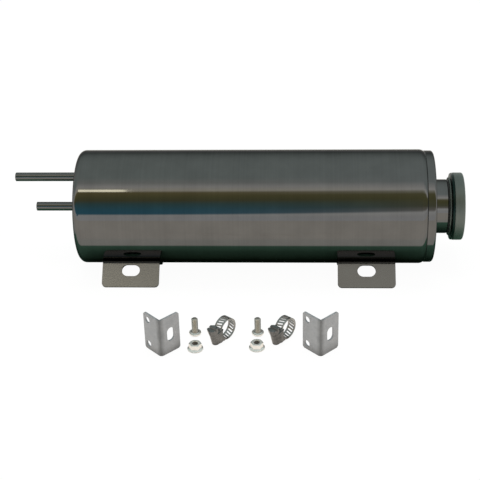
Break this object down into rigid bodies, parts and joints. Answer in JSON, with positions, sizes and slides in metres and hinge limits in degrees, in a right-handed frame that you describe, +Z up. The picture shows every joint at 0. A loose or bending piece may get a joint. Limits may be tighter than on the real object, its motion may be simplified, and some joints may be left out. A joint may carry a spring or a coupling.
{
  "type": "coolant overflow tank",
  "caption": "Cylindrical polished stainless coolant overflow tank with screw cap, two hose pipes and slotted mounting tabs, with its brackets, screws and hose clamps.",
  "frame": {"origin": "where the tank's axis meets the flat closed end, which is also the root of the feed tube", "axes": "+X along the tank's axis towards the filler cap, +Z up with the tank lying on its belly and tab edges, the kit in front towards -Y"},
  "size_m": [0.3029, 0.1586, 0.0762],
  "materials": {
    "polished_steel": "mirror polished stainless",
    "satin_steel": "fine turned satin",
    "pipe_steel": "drawn tube, lightly polished",
    "weld_steel": "weld metal, as left",
    "tab_steel": "sheet, lightly polished",
    "bracket_steel": "matt sheet",
    "bolt_steel": "machined, bright",
    "clamp_steel": "pressed strip",
    "gasket_rubber": "matt black"
  },
  "bodies": {
    "tank": {"tank_shell": "polished_steel", "end_cover": "polished_steel", "seam_weld": "weld_steel", "filler_neck": "polished_steel", "neck_weld": "weld_steel", "feed_tube": "pipe_steel", "overflow_tube": "pipe_steel", "tube_welds": "weld_steel", "mount_tab_left": "tab_steel", "mount_tab_right": "tab_steel", "tab_welds": "weld_steel"},
    "gasket": {"cap_gasket": "gasket_rubber"},
    "cap": {"filler_cap": "satin_steel"},
    "bracket_left": {"mounting_bracket_left": "bracket_steel"},
    "screw_left": {"bracket_screw_left": "bolt_steel"},
    "nut_left": {"bracket_nut_left": "bolt_steel"},
    "clamp_left": {"clamp_band_left": "clamp_steel", "clamp_housing_left": "clamp_steel"},
    "worm_left": {"clamp_screw_left": "clamp_steel"},
    "bracket_right": {"mounting_bracket_right": "bracket_steel"},
    "screw_right": {"bracket_screw_right": "bolt_steel"},
    "nut_right": {"bracket_nut_right": "bolt_steel"},
    "clamp_right": {"clamp_band_right": "clamp_steel", "clamp_housing_right": "clamp_steel"},
    "worm_right": {"clamp_screw_right": "clamp_steel"}
  },
  "joints": [
    {"name": "cap_rise", "type": "slide", "parent": "tank", "child": "gasket", "axis": [1, 0, 0], "range_m": [0, 0.01]},
    {"name": "cap_turn", "type": "hinge", "parent": "gasket", "child": "cap", "pos_m": [0.2468, 0, 0], "axis": [1, 0, 0], "range_deg": [0, 1440]},
    {"name": "bracket_left_lift", "type": "slide", "parent": "tank", "child": "bracket_left", "axis": [0, 0, 1], "range_m": [0, 0.08]},
    {"name": "screw_left_lift", "type": "slide", "parent": "tank", "child": "screw_left", "axis": [0, 0, 1], "range_m": [0, 0.08]},
    {"name": "nut_left_lift", "type": "slide", "parent": "tank", "child": "nut_left", "axis": [0, 0, 1], "range_m": [0, 0.08]},
    {"name": "clamp_left_lift", "type": "slide", "parent": "tank", "child": "clamp_left", "axis": [0, 0, 1], "range_m": [0, 0.08]},
    {"name": "worm_left_turn", "type": "hinge", "parent": "clamp_left", "child": "worm_left", "pos_m": [0.09648, -0.10695, -0.03354], "axis": [0.1566, 0.2004, -0.9671], "range_deg": [-1350, 1350]},
    {"name": "bracket_right_lift", "type": "slide", "parent": "tank", "child": "bracket_right", "axis": [0, 0, 1], "range_m": [0, 0.08]},
    {"name": "screw_right_lift", "type": "slide", "parent": "tank", "child": "screw_right", "axis": [0, 0, 1], "range_m": [0, 0.08]},
    {"name": "nut_right_lift", "type": "slide", "parent": "tank", "child": "nut_right", "axis": [0, 0, 1], "range_m": [0, 0.08]},
    {"name": "clamp_right_lift", "type": "slide", "parent": "tank", "child": "clamp_right", "axis": [0, 0, 1], "range_m": [0, 0.08]},
    {"name": "worm_right_turn", "type": "hinge", "parent": "clamp_right", "child": "worm_right", "pos_m": [0.13378, -0.10635, -0.03354], "axis": [0.1566, 0.2004, -0.9671], "range_deg": [-1350, 1350]}
  ],
  "couplings": [
    {"joint": "cap_rise", "follows": "cap_turn", "m_per_rad": 0.00039789}
  ]
}
